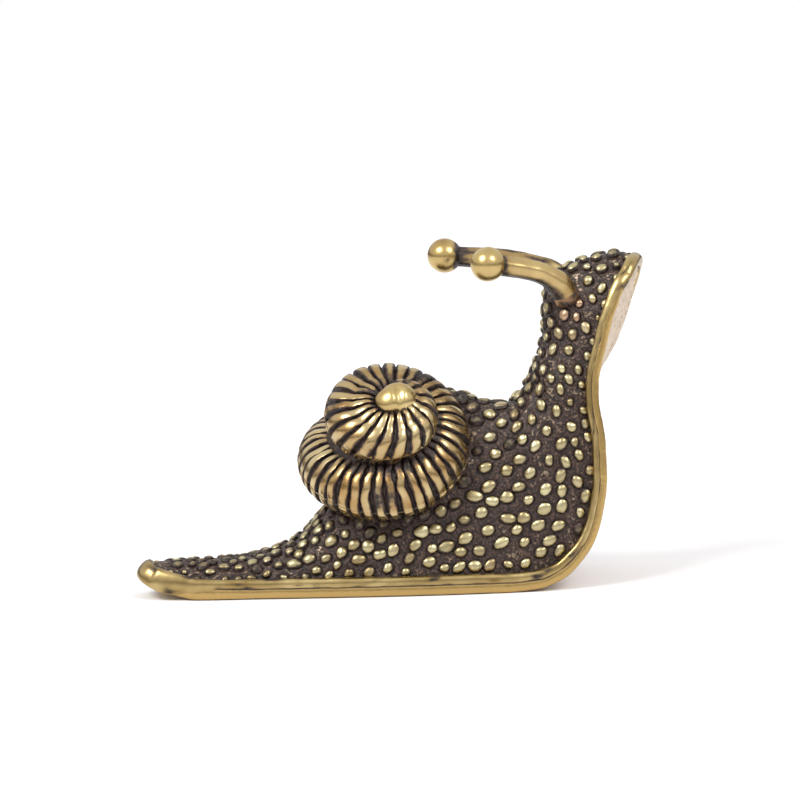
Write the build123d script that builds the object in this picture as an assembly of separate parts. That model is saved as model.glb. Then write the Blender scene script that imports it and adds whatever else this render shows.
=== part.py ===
from build123d import *
import os
from math import acos, atan2, copysign, cos, degrees, radians, sin

# A small solid brass snail ornament, climbing: the foot lies flat from the tail to the bend,
# then stands up to the head, and the eye stalks point back over a spiral shell.
# Millimetres. +X is the way the head faces, +Z is up, -Y is the snail's right side.
# The origin lies on the flat resting face, under the middle of the snail's length.

# Overall sizes
snail_length = 38.6
head_height = 24.6
tail_reach = 19.25
hump_height = 14.6
foot_half_width = 5.4
foot_thickness = 1.5
head_twist = 18.0
tail_bend = 0.5
hump_lean = 2.4

# Joints between the pieces
braze_gap = 0.03
overrun = 2.0
plate_share = 0.66
seat_share = 0.33
rim_base_share = 0.5
rim_width = 0.8
rim_gap = 0.15
rim_cut_margin = 0.3
sole_grind = 0.05

# Shell
shell_apex_height = 15.3
shell_apex_offset = -0.15
shell_apex_side = 5.2
shell_elevation = 46.0
shell_azimuth = 5.0
shell_radius = 6.5
shell_height = 8.2
shell_core_radius = 4.0
shell_core_start = 4.0
shell_pocket_gap = 0.1
shell_skirt_start = 3.0

# Grooves between the shell's ribs, cut across the whorls
groove_pitch = 1.4
groove_width = 0.34
groove_depth = 0.22
groove_lift = 0.25
groove_first_step = 2.0
groove_last_step = 14.6
groove_margin = 9.0
groove_top_angle = 100.0
groove_low_angle = -50.0

# Pin that holds the shell
pin_radius = 0.8
pin_head_radius = 1.4
pin_head_height = 1.0
pin_grip = 3.0

# Eye stalks and balls
stalk_radius = 0.78
ball_radius = 1.3
ball_seat_share = 0.6
fillet_reach = 0.4
fillet_height = 0.5
stalk_root_share = 0.12

# Stations from the tail tip to the head tip. Each row holds
# the foot line's place along and up, the foot's half width, thickness, twist and sideways bend,
# then the back's place along, up and sideways.
# Shares of snail_length, head_height, foot_half_width, foot_thickness, head_twist, tail_bend,
# snail_length, hump_height and hump_lean.
station_shares = [
    (-0.006, 0.088, 0.13, 0.80, 0.00, 1.00, 0.024, 0.172, 0.00),
    (0.000, 0.058, 0.27, 0.90, 0.00, 1.00, 0.030, 0.176, 0.00),
    (0.016, 0.033, 0.38, 1.00, 0.00, 0.95, 0.040, 0.180, 0.00),
    (0.043, 0.013, 0.46, 1.08, 0.00, 0.80, 0.056, 0.182, 0.00),
    (0.075, 0.003, 0.51, 1.10, 0.00, 0.65, 0.078, 0.182, 0.00),
    (0.105, 0.000, 0.56, 1.08, 0.00, 0.50, 0.105, 0.182, 0.00),
    (0.188, 0.000, 0.65, 1.00, 0.00, 0.15, 0.188, 0.178, 0.00),
    (0.291, 0.000, 0.76, 1.00, 0.00, 0.00, 0.291, 0.242, 0.05),
    (0.395, 0.000, 0.85, 1.00, 0.00, 0.00, 0.378, 0.455, 0.35),
    (0.499, 0.000, 0.93, 1.00, 0.00, 0.00, 0.450, 0.780, 0.85),
    (0.602, 0.000, 0.98, 1.00, 0.00, 0.00, 0.538, 0.940, 1.00),
    (0.706, 0.000, 1.00, 0.98, 0.00, 0.00, 0.615, 1.000, 0.90),
    (0.768, 0.004, 1.00, 0.95, 0.00, 0.00, 0.659, 0.979, 0.60),
    (0.816, 0.034, 0.99, 0.90, 0.00, 0.00, 0.685, 0.949, 0.30),
    (0.853, 0.088, 0.98, 0.84, 0.00, 0.00, 0.703, 0.933, 0.10),
    (0.878, 0.150, 0.97, 0.78, 0.00, 0.00, 0.719, 0.932, 0.00),
    (0.894, 0.234, 0.95, 0.73, 0.00, 0.00, 0.734, 0.945, 0.00),
    (0.905, 0.343, 0.92, 0.70, 0.00, 0.00, 0.750, 0.983, 0.00),
    (0.904, 0.457, 0.87, 0.68, 0.00, 0.00, 0.768, 1.041, 0.00),
    (0.899, 0.554, 0.82, 0.67, 0.11, 0.00, 0.782, 1.123, 0.00),
    (0.909, 0.634, 0.78, 0.67, 0.44, 0.00, 0.793, 1.205, 0.00),
    (0.931, 0.719, 0.77, 0.67, 0.78, 0.00, 0.802, 1.301, 0.00),
    (0.952, 0.808, 0.76, 0.67, 1.00, 0.00, 0.803, 1.425, 0.00),
    (0.970, 0.889, 0.69, 0.65, 1.00, 0.00, 0.810, 1.545, 0.00),
    (0.986, 0.945, 0.54, 0.63, 0.89, 0.00, 0.867, 1.650, 0.00),
    (0.993, 0.978, 0.35, 0.60, 0.67, 0.00, 0.944, 1.698, 0.00),
    (1.000, 1.000, 0.15, 0.57, 0.44, 0.00, 0.983, 1.712, 0.00),
]
section_count = 44
first_body_section = 2
section_steps = 8
section_fullness = 0.8

# Whorls, once every eighth of a turn and outward from the apex, clockwise.
# Shares of shell_radius for the outer edge and the tube, and of shell_height for the drop.
whorl_shares = [
    (0.31, 0.140, 0.185),
    (0.38, 0.170, 0.210),
    (0.46, 0.190, 0.235),
    (0.54, 0.215, 0.265),
    (0.62, 0.240, 0.300),
    (0.68, 0.262, 0.340),
    (0.75, 0.285, 0.385),
    (0.79, 0.305, 0.430),
    (0.84, 0.325, 0.480),
    (0.885, 0.345, 0.530),
    (0.925, 0.362, 0.585),
    (0.96, 0.376, 0.635),
    (1.00, 0.385, 0.700),
    (1.01, 0.385, 0.820),
    (1.00, 0.375, 0.990),
    (0.97, 0.340, 1.130),
    (0.93, 0.280, 1.230),
    (0.88, 0.200, 1.300),
]
whorl_start_angle = 90.0
whorl_step_angle = 45.0
whorls_per_loft = 4

# Stalk routes from inside the head outward, in shares of the snail's own sizes:
# snail_length from the tail tip, foot_half_width across and head_height up.
right_stalk_shares = [
    (0.868, -0.20, 0.862),
    (0.847, -0.28, 0.908),
    (0.820, -0.36, 0.945),
    (0.790, -0.43, 0.968),
    (0.752, -0.50, 0.982),
    (0.721, -0.56, 0.992),
    (0.685, -0.63, 1.003),
]
left_stalk_shares = [
    (0.859, 0.37, 0.893),
    (0.834, 0.41, 0.930),
    (0.806, 0.44, 0.955),
    (0.767, 0.47, 0.973),
    (0.728, 0.51, 0.982),
    (0.660, 0.56, 0.989),
    (0.618, 0.595, 0.995),
]


# Stations between the rows of a table

def climb(rows, places, index, column):
    """Slope of one column at one row, level at every peak, so that nothing overshoots."""
    if index in (0, len(rows) - 1):
        near = min(index, len(rows) - 2)
        return (rows[near + 1][column] - rows[near][column]) / (places[near + 1] - places[near])
    before = (rows[index][column] - rows[index - 1][column]) / (places[index] - places[index - 1])
    after = (rows[index + 1][column] - rows[index][column]) / (places[index + 1] - places[index])
    if before * after <= 0:
        return 0
    return 2 * before * after / (before + after)


def row_at(rows, places, place):
    """One row between the rows of a table, on a smooth curve through all of them."""
    index = 0
    while index < len(rows) - 2 and place > places[index + 1]:
        index += 1
    span = places[index + 1] - places[index]
    part = (place - places[index]) / span
    ease = part * part * (3 - 2 * part)
    row = []
    for column in range(len(rows[0])):
        start = rows[index][column]
        end = rows[index + 1][column]
        leave = climb(rows, places, index, column) * span * part * (1 - part) ** 2
        arrive = climb(rows, places, index + 1, column) * span * part * part * (part - 1)
        row.append(start + (end - start) * ease + leave + arrive)
    return row


def even_rows(rows, count):
    """The table again in even steps along the snail."""
    places = [0]
    for index in range(len(rows) - 1):
        places.append(places[-1] + row_step(rows[index], rows[index + 1]))
    return [row_at(rows, places, places[-1] * index / (count - 1)) for index in range(count)]


# Places and directions on the snail

def foot_point(row):
    """A point of the foot line on the outer face."""
    return Vector(row[0] * snail_length - tail_reach, -row[5] * tail_bend, row[1] * head_height)


def back_point(row):
    across = row[8] * hump_lean - row[5] * tail_bend
    return Vector(row[6] * snail_length - tail_reach, across, row[7] * hump_height)


def row_step(row, other):
    """Mean of the step along the foot and the step along the back."""
    foot = (foot_point(other) - foot_point(row)).length
    back = (back_point(other) - back_point(row)).length
    return (foot + back) / 2


def station_frame(rows, index):
    """Point on the foot, and the directions along it, across it and into the body."""
    before = foot_point(rows[max(index - 1, 0)])
    after = foot_point(rows[min(index + 1, len(rows) - 1)])
    along = (after - before).normalized()
    twist = rows[index][4] * head_twist
    across = Vector(0, 1, 0).rotate(Axis((0, 0, 0), along), -twist)
    inward = along.cross(across)
    return foot_point(rows[index]), along, across.normalized(), inward.normalized()


# Foot

def band_section(rows, index, low, high, wide):
    """Flat band with half-round edges, between two heights above the outer face."""
    point, _, across, inward = station_frame(rows, index)
    radius = (high - low) / 2
    flat = max(wide - radius, radius / 2)
    corners = []
    for side, level in ((-1, low), (1, low), (1, high), (-1, high)):
        corners.append(point + across * (side * flat) + inward * level)
    middle = inward * (low + radius)
    right = point + across * (flat + radius) + middle
    left = point - across * (flat + radius) + middle
    edges = [
        Edge.make_line(corners[0], corners[1]),
        Edge.make_three_point_arc(corners[1], right, corners[2]),
        Edge.make_line(corners[2], corners[3]),
        Edge.make_three_point_arc(corners[3], left, corners[0]),
    ]
    return Wire(edges)


def make_plate():
    """Band along the whole foot, as wide as the foot, ground flat where it rests."""
    rows = even_rows(station_shares, section_count)
    wires = []
    for index, row in enumerate(rows):
        top = row[3] * foot_thickness * plate_share
        wires.append(band_section(rows, index, -sole_grind, top, row[2] * foot_half_width))
    below = Plane((-snail_length, -snail_length / 2, -overrun))
    floor = Solid.make_box(2 * snail_length, snail_length, overrun, below)
    return biggest(Solid.make_loft(wires).cut(floor))


def make_rim_blank():
    """Upper band, sunk into the plate, before the plate and the body are cut out of it."""
    rows = even_rows(station_shares, section_count)
    wires = []
    for index, row in enumerate(rows):
        top = row[3] * foot_thickness
        base = top * rim_base_share
        wires.append(band_section(rows, index, base, top, row[2] * foot_half_width))
    return Solid.make_loft(wires)


def make_foot_opening():
    """What the body's foot takes out of the rim, with the joint's gap."""
    rows = even_rows(station_shares, section_count)
    wires = []
    for index in range(first_body_section, section_count - 1):
        row = rows[index]
        point, _, across, inward = station_frame(rows, index)
        wide = body_half_width(row) + rim_gap
        top = row[3] * foot_thickness
        low = point + inward * (top * rim_base_share - rim_cut_margin)
        high = point + inward * (top + rim_cut_margin)
        wires.append(Wire.make_polygon([
            low - across * wide,
            low + across * wide,
            high + across * wide,
            high - across * wide,
        ]))
    return Solid.make_loft(wires)


# Body

def body_half_width(row):
    wide = row[2] * foot_half_width
    return max(wide - rim_width, wide / 2)


def body_section(rows, index):
    """Half-oval section that starts inside the plate and reaches the back."""
    row = rows[index]
    point, along, across, inward = station_frame(rows, index)
    foot = point + inward * (row[3] * foot_thickness * seat_share)
    rise = (back_point(row) - foot).rotate(Axis((0, 0, 0), along), -row[4] * head_twist)
    wide = body_half_width(row)
    points = []
    for step in range(section_steps + 1):
        angle = radians(180 * step / section_steps)
        side = copysign(abs(cos(angle)) ** section_fullness, cos(angle))
        points.append(foot + across * (wide * side) + rise * sin(angle) ** section_fullness)
    arch = Edge.make_spline(points, tangents=[rise, rise * -1])
    base = Edge.make_line(points[-1], points[0])
    return Wire([arch, base])


def make_body_blank():
    rows = even_rows(station_shares, section_count)
    sections = range(first_body_section, section_count)
    return Solid.make_loft([body_section(rows, index) for index in sections])


# Shell

def shell_frame():
    """Plane at the apex, with its Z out along the shell's axis."""
    level = cos(radians(shell_elevation))
    out = Vector(
        level * sin(radians(shell_azimuth)),
        -level * cos(radians(shell_azimuth)),
        sin(radians(shell_elevation)),
    )
    across = Vector(0, 0, 1).cross(out).normalized()
    apex = (shell_apex_offset, -shell_apex_side, shell_apex_height)
    return Plane(origin=apex, x_dir=across, z_dir=out)


def whorl_angle(index):
    return radians(whorl_start_angle - whorl_step_angle * index)


def whorl_centre(index):
    """Middle of the tube at one station, in the shell's own frame."""
    edge, tube, drop = whorl_shares[index]
    reach = (edge - tube) * shell_radius
    angle = whorl_angle(index)
    return Vector(reach * cos(angle), reach * sin(angle), -drop * shell_height)


def whorl_section(index):
    """Circle of the tube at one station."""
    angle = whorl_angle(index)
    outward = Vector(cos(angle), sin(angle), 0)
    onward = Vector(sin(angle), -cos(angle), 0)
    circle = Plane(origin=whorl_centre(index), x_dir=outward, z_dir=onward)
    return Wire.make_circle(whorl_shares[index][1] * shell_radius, circle)


def make_whorls():
    """Tube of the shell, half a turn at a time, with its inside filled."""
    last = len(whorl_shares) - 1
    lofts = []
    for start in range(0, last, whorls_per_loft):
        stop = min(start + whorls_per_loft, last)
        lofts.append(Solid.make_loft([whorl_section(index) for index in range(start, stop + 1)]))
    core_height = shell_height - shell_core_start
    core = Solid.make_cylinder(shell_core_radius, core_height, Plane((0, 0, -shell_height)))
    crown_height = shell_height - pin_head_height
    crown = Solid.make_cylinder(pin_head_radius, crown_height, Plane((0, 0, -shell_height)))
    return core.fuse(crown, *lofts)


def make_skirt(blank):
    """Lower part of the shell that fills its pocket flush with the body round it."""
    seat = Plane((0, 0, -shell_height))
    disc = Solid.make_cylinder(shell_radius, shell_height - shell_skirt_start, seat)
    return biggest(shell_frame().from_local_coords(disc).intersect(blank))


def whorl_row(step):
    """Outer edge, tube and drop at any place along the whorls."""
    row = row_at(whorl_shares, range(len(whorl_shares)), step)
    return row[0] * shell_radius, row[1] * shell_radius, row[2] * shell_height


def touch_angles(step, other):
    """Where round the tube another whorl lies, and how far it reaches to either side."""
    edge, tube, drop = whorl_row(step)
    other_edge, other_tube, other_drop = whorl_row(other)
    aside = (other_edge - other_tube) - (edge - tube)
    above = drop - other_drop
    gap = (aside ** 2 + above ** 2) ** 0.5
    share = (gap ** 2 + tube ** 2 - other_tube ** 2) / (2 * gap * tube)
    return degrees(atan2(above, aside)), degrees(acos(max(-1, min(1, share))))


def make_groove(step):
    """Shallow slot across the tube at one place, as far as the whorl can be seen there."""
    edge, tube, drop = whorl_row(step)
    high, low = groove_top_angle, groove_low_angle
    if step > 8:
        towards, half = touch_angles(step, step - 8)
        high = min(high, towards - half - groove_margin)
    if step < 9:
        towards, half = touch_angles(step, step + 8)
        low = max(low, towards + half + groove_margin)
    turn = radians(whorl_start_angle - whorl_step_angle * step)
    outward = Vector(cos(turn), sin(turn), 0)
    onward = Vector(sin(turn), -cos(turn), 0)
    centre = outward * (edge - tube) - Vector(0, 0, drop) - onward * (groove_width / 2)

    def place(radius, angle):
        across = outward * (radius * cos(radians(angle)))
        return centre + across + Vector(0, 0, radius * sin(radians(angle)))

    inner, outer, middle = tube - groove_depth, tube + groove_lift, (high + low) / 2
    outline = Wire([
        Edge.make_three_point_arc(place(inner, low), place(inner, middle), place(inner, high)),
        Edge.make_line(place(inner, high), place(outer, high)),
        Edge.make_three_point_arc(place(outer, high), place(outer, middle), place(outer, low)),
        Edge.make_line(place(outer, low), place(inner, low)),
    ])
    return Solid.extrude(Face(outline), onward * groove_width)


def make_grooves():
    """Slots at even steps along the outer edge of the whorls."""
    grooves = []
    step = groove_first_step
    while step < groove_last_step:
        grooves.append(make_groove(step))
        step += groove_pitch / (whorl_row(step)[0] * radians(whorl_step_angle))
    return grooves


def make_shell(body, blank):
    """Whorls seated on the body, bored for the pin, faced off under its head and grooved."""
    frame = shell_frame()
    whorls = frame.from_local_coords(make_whorls()).fuse(make_skirt(blank))
    face = Plane((0, 0, -pin_head_height))
    facing = Solid.make_cylinder(pin_head_radius, pin_head_height + overrun, face)
    bore_length = shell_height + overrun
    bore = Solid.make_cylinder(pin_radius + braze_gap, bore_length, Plane((0, 0, -bore_length)))
    shell = whorls.cut(body)
    shell = shell.cut(frame.from_local_coords(facing))
    shell = shell.cut(frame.from_local_coords(bore))
    grooves = [frame.from_local_coords(groove) for groove in make_grooves()]
    return biggest(shell.cut(*grooves))


def make_pocket():
    """Room round the shell above its seat."""
    seat = Plane((0, 0, -shell_height))
    depth = shell_height + shell_apex_height
    return Solid.make_cylinder(shell_radius + shell_pocket_gap, depth, seat)


def make_pin():
    """Shank with a polished domed head, in line with the shell's axis."""
    low = -shell_height - pin_grip
    shank = Solid.make_cylinder(pin_radius, -pin_head_height - low, Plane((0, 0, low)))
    dome_radius = (pin_head_radius ** 2 + pin_head_height ** 2) / (2 * pin_head_height)
    dome = Solid.make_sphere(dome_radius, Plane((0, 0, -dome_radius)))
    below = Plane((0, 0, -pin_head_height - 2 * dome_radius))
    dome = dome.cut(Solid.make_cylinder(2 * dome_radius, 2 * dome_radius, below))
    return shell_frame().from_local_coords(dome.fuse(shank))


def make_pin_hole():
    """Blind hole in the body under the shell, a little wider and deeper than the pin."""
    low = -shell_height - pin_grip - braze_gap
    hole = Solid.make_cylinder(pin_radius + braze_gap, shell_height + pin_grip, Plane((0, 0, low)))
    return shell_frame().from_local_coords(hole)


# Eye stalks

def stalk_path(shares):
    points = []
    for along, across, up in shares:
        x = along * snail_length - tail_reach
        points.append(Vector(x, across * foot_half_width, up * head_height))
    return points


def make_stalk(shares, extra):
    """Round rod along its route, short of the ball's middle at its outer end."""
    points = stalk_path(shares)
    back_off = (points[-2] - points[-1]).normalized() * (ball_radius * ball_seat_share)
    points[-1] = points[-1] + back_off
    route = Edge.make_spline(points)
    start = Plane(origin=route @ 0, z_dir=route % 0)
    profile = Face(Wire.make_circle(stalk_radius + extra, start))
    return Solid.sweep(profile, path=Wire([route]))


def make_ball(shares, socket):
    centre = stalk_path(shares)[-1]
    away = (centre - stalk_path(shares)[-2]).normalized()
    side = away.cross(Vector(0, 0, 1))
    ball = Solid.make_sphere(ball_radius, Plane(origin=centre, x_dir=away, z_dir=side))
    return biggest(ball.cut(socket))


def make_fillet(shares, body, stalk):
    """Collar of brazing metal round the place where a stalk enters the head."""
    route = Edge.make_spline(stalk_path(shares))
    aim = route % stalk_root_share
    root = Plane(origin=route @ stalk_root_share - aim * fillet_height, z_dir=aim)
    cone = Solid.make_cone(stalk_radius + fillet_reach, stalk_radius, 2 * fillet_height, root)
    return biggest(cone.cut(body).cut(stalk))


def biggest(shape):
    """The largest solid of a cut, without loose slivers."""
    return max(shape.solids(), key=lambda solid: solid.volume)


# Whole snail

def make_snail():
    """Every piece by its node name."""
    plate = make_plate()
    body = biggest(make_body_blank().cut(plate))
    rim = biggest(make_rim_blank().cut(make_foot_opening()))
    rim = biggest(rim.cut(plate))
    rim = biggest(rim.cut(body))
    pocket = shell_frame().from_local_coords(make_pocket())
    blank = body
    body = biggest(body.cut(pocket))
    shell = make_shell(body, blank)
    body = biggest(body.cut(make_pin_hole()))
    pieces = {
        "sole_plate": plate,
        "foot_rim": rim,
        "shell_casting": shell,
        "shell_pin": make_pin(),
    }
    for side, shares in (("right", right_stalk_shares), ("left", left_stalk_shares)):
        stalk = make_stalk(shares, 0)
        socket = make_stalk(shares, braze_gap)
        body = biggest(body.cut(socket))
        pieces[side + "_eye_stalk"] = stalk
        pieces[side + "_eye_ball"] = make_ball(shares, socket)
        pieces[side + "_braze_fillet"] = make_fillet(shares, body, socket)
    pieces["body_casting"] = body
    return pieces


os.makedirs("parts", exist_ok=True)
for name, piece in make_snail().items():
    print(name, piece.is_valid, round(piece.volume, 2), "mm3")
    export_step(piece, f"parts/{name}.step")
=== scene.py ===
# %% [markdown]
# A small brass snail, photographed for a shop: how to build its looks in Blender
#
# The real ornament is cast brass, about 39 mm long. It was dipped in a dark patina and then
# buffed, so that the high places shine and the hollows stay nearly black. The solids of the
# snail come from a CAD model, which the script imports from model.glb as the fixed frame. This
# lesson builds the visible pieces round that frame, with the beads, ribs and wear that make it
# look real.

# %% The frame
from math import acos, atan2, copysign, cos, degrees, hypot, pi, radians, sin, sqrt

import bmesh
import bpy
import numpy as np
from mathutils import Matrix, Quaternion, Vector
from mathutils.bvhtree import BVHTree
from mathutils.kdtree import KDTree
from mathutils.noise import noise


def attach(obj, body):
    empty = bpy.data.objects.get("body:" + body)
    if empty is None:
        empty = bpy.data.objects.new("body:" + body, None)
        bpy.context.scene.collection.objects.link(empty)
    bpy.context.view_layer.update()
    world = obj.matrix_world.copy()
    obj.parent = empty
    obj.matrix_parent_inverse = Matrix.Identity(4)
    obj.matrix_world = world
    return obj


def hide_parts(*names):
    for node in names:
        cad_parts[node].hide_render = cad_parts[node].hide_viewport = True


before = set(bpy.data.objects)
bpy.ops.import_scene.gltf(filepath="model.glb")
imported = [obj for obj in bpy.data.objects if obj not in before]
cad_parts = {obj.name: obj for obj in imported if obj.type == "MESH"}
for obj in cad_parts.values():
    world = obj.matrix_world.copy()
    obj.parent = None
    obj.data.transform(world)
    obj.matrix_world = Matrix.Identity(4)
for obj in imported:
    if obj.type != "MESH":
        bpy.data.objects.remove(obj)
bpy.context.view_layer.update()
print("frame pieces:", ", ".join(sorted(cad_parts)))

# %% [markdown]
# The numbers below are millimetres, as a maker would write them. Blender works in metres, so
# one factor turns the one into the other.

# %% Units
MM = 0.001


def ramp(value, start, end):
    """0 before start, 1 after end, and a soft step between them."""
    part = min(max((value - start) / (end - start), 0), 1)
    return part * part * (3 - 2 * part)


# %% [markdown]
# The camera stands almost level with the snail and a little to its left, as for most product
# photographs. A long lens from 400 mm away keeps the shape free of distortion. The camera is
# tipped by a degree and a half, because the foot would run at another slope without it.

# %% Camera
camera_azimuth = radians(-5.0)
camera_elevation = radians(9.0)
camera_roll = radians(1.5)
camera_distance = 400 * MM
camera_target = Vector((0.65, 0, 14.15)) * MM
sensor_width = 36
lens_length = 238.7

back = Vector((
    sin(camera_azimuth) * cos(camera_elevation),
    -cos(camera_azimuth) * cos(camera_elevation),
    sin(camera_elevation),
))
level = Vector((cos(camera_azimuth), sin(camera_azimuth), 0))
upright = back.cross(level)
right = level * cos(camera_roll) - upright * sin(camera_roll)
up = level * sin(camera_roll) + upright * cos(camera_roll)
camera_turn = Matrix((right, up, back)).transposed().to_4x4()

camera_data = bpy.data.cameras.new("product_lens")
camera_data.sensor_width = sensor_width
camera_data.lens = lens_length
camera_data.clip_start = 10 * MM
camera_data.clip_end = 20
camera = bpy.data.objects.new("product_camera", camera_data)
bpy.context.collection.objects.link(camera)
camera.matrix_world = Matrix.Translation(camera_target + back * camera_distance) @ camera_turn
bpy.context.scene.camera = camera
bpy.context.scene.view_settings.view_transform = "Standard"

# %% [markdown]
# Every material below is a small tree of nodes. One function adds a node with its settings
# and its links, and another turns a colour as a designer writes it, such as #C9A85C, into
# the linear values that Blender calculates with.

# %% Nodes and colours


def linear(code):
    """An sRGB colour such as #C9A85C as linear RGBA."""
    values = [int(code[start:start + 2], 16) / 255 for start in (1, 3, 5)]
    curve = [v / 12.92 if v <= 0.04045 else ((v + 0.055) / 1.055) ** 2.4 for v in values]
    return (*curve, 1)


def add_node(tree, kind, settings=None, **inputs):
    """Adds a node. An input is a number, a colour code, a vector, a node or a node's output.

    Inputs that share a name with others of their node go by number, from i0 on.
    """
    node = tree.nodes.new("ShaderNode" + kind)
    for key, value in (settings or {}).items():
        setattr(node, key, value)
    for key, value in inputs.items():
        number = key[1:].isdigit()
        socket = node.inputs[int(key[1:])] if number else node.inputs[key.replace("_", " ")]
        if isinstance(value, bpy.types.Node):
            value = value.outputs[2 if value.type == "MIX" else 0]
        if isinstance(value, bpy.types.NodeSocket):
            tree.links.new(value, socket)
        elif isinstance(value, str):
            socket.default_value = linear(value)
        else:
            socket.default_value = value
    return node


def mix_colours(tree, share, first, second):
    """A node that goes from the first colour to the second as share goes from 0 to 1."""
    return add_node(tree, "Mix", {"data_type": "RGBA"}, i0=share, i6=first, i7=second)


def map_range(tree, value, start=0, end=1, low=0, high=1):
    """A node that gives low where value is at start, and high where it is at end."""
    return add_node(tree, "MapRange", i0=value, i1=start, i2=end, i3=low, i4=high)


def new_material(name):
    """An empty material with its tree."""
    material = bpy.data.materials.new(name)
    material.use_nodes = True
    material.node_tree.nodes.clear()
    return material, material.node_tree


def show(tree, shader):
    """Sends a shader to the material's output."""
    add_node(tree, "OutputMaterial", Surface=shader)


# %% [markdown]
# The studio is a white table under soft light. The world is white wherever the camera or a
# mirror-like surface looks, and gives a little less light than that to everything else, so
# that pale places don't burn out. Two soft lamps above the camera, one on each side, give
# polished brass its two highlights.

# %% Floor and light
ambient_strength = 0.80
lamp_aim = Vector((0, 0, 12)) * MM

world = bpy.data.worlds.new("white_studio")
world.use_nodes = True
bpy.context.scene.world = world
tree = world.node_tree
tree.nodes.clear()
rays = add_node(tree, "LightPath")
seen = add_node(tree, "Math", {"operation": "MAXIMUM"},
                i0=rays.outputs["Is Camera Ray"], i1=rays.outputs["Is Glossy Ray"])
seen = add_node(tree, "Math", {"operation": "MAXIMUM"},
                i0=seen, i1=rays.outputs["Is Transmission Ray"])
strength = map_range(tree, seen, low=ambient_strength)
sky = add_node(tree, "Background", Color="#FFFFFF", Strength=strength)
add_node(tree, "OutputWorld", Surface=sky)


def add_lamp(name, place, size, watts):
    """A soft round lamp that points at the snail."""
    data = bpy.data.lights.new(name, "AREA")
    data.shape = "DISK"
    data.size = size * MM
    data.energy = watts
    lamp = bpy.data.objects.new(name, data)
    bpy.context.collection.objects.link(lamp)
    place = Vector(place) * MM
    turn = (lamp_aim - place).to_track_quat("-Z", "Y").to_matrix().to_4x4()
    lamp.matrix_world = Matrix.Translation(place) @ turn


add_lamp("soft_lamp_left", place=(-420, -300, 520), size=300, watts=3.2)
add_lamp("soft_lamp_right", place=(300, -380, 480), size=220, watts=1.4)


def add_object(name, piece, smooth=True):
    """Makes an object from a bmesh, with its place in its mesh."""
    for face in piece.faces:
        face.smooth = smooth
    mesh = bpy.data.meshes.new(name)
    piece.to_mesh(mesh)
    piece.free()
    made = bpy.data.objects.new(name, mesh)
    bpy.context.collection.objects.link(made)
    return made


# %% Table
table_radius = 340 * MM
table = bmesh.new()
bmesh.ops.create_circle(table, cap_ends=True, segments=96, radius=table_radius)
white_table = add_object("white_table", table, smooth=False)
material, tree = new_material("white_paper")
show(tree, add_node(tree, "BsdfDiffuse", Color="#F8F7F9"))
white_table.data.materials.append(material)

# %% [markdown]
# Photographers stand dark card round a polished piece, just above the table, because metal
# shows only what it mirrors. This ring of brown card is seen by mirror rays alone, so it
# casts no shadow and never gets in front of the camera.

# %% Card for the reflections
card_radius = 240 * MM
card_height = 46 * MM
card_middle = 31 * MM
ring = bmesh.new()
bmesh.ops.create_cone(
    ring, cap_ends=False, segments=64, radius1=card_radius, radius2=card_radius, depth=card_height,
)
bmesh.ops.translate(ring, verts=ring.verts, vec=(0, 0, card_middle))
dark_card = add_object("dark_card", ring, smooth=False)
material, tree = new_material("brown_card")
show(tree, add_node(tree, "BsdfDiffuse", Color="#5A4A3C"))
dark_card.data.materials.append(material)
dark_card.visible_camera = False
dark_card.visible_diffuse = False
dark_card.visible_shadow = False
dark_card.visible_transmission = False

# %% [markdown]
# The foot of the snail runs from the curled tail, flat along the table, and then climbs to
# the head. A row of stations holds such a shape: at each one the table gives the foot's place
# and width and the place of the back above it, as shares of the overall sizes. They are those
# of the CAD model, but for a few tenths of a millimetre at the tail and under the head, where
# the photograph was followed more closely.

# %% Stations
snail_length = 38.6
head_height = 24.6
tail_reach = 19.25
hump_height = 14.6
foot_half_width = 5.4
foot_thickness = 1.5
head_twist = 16.5
tail_bend = 0.5
hump_lean = 2.4
rim_width = 0.8

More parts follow.
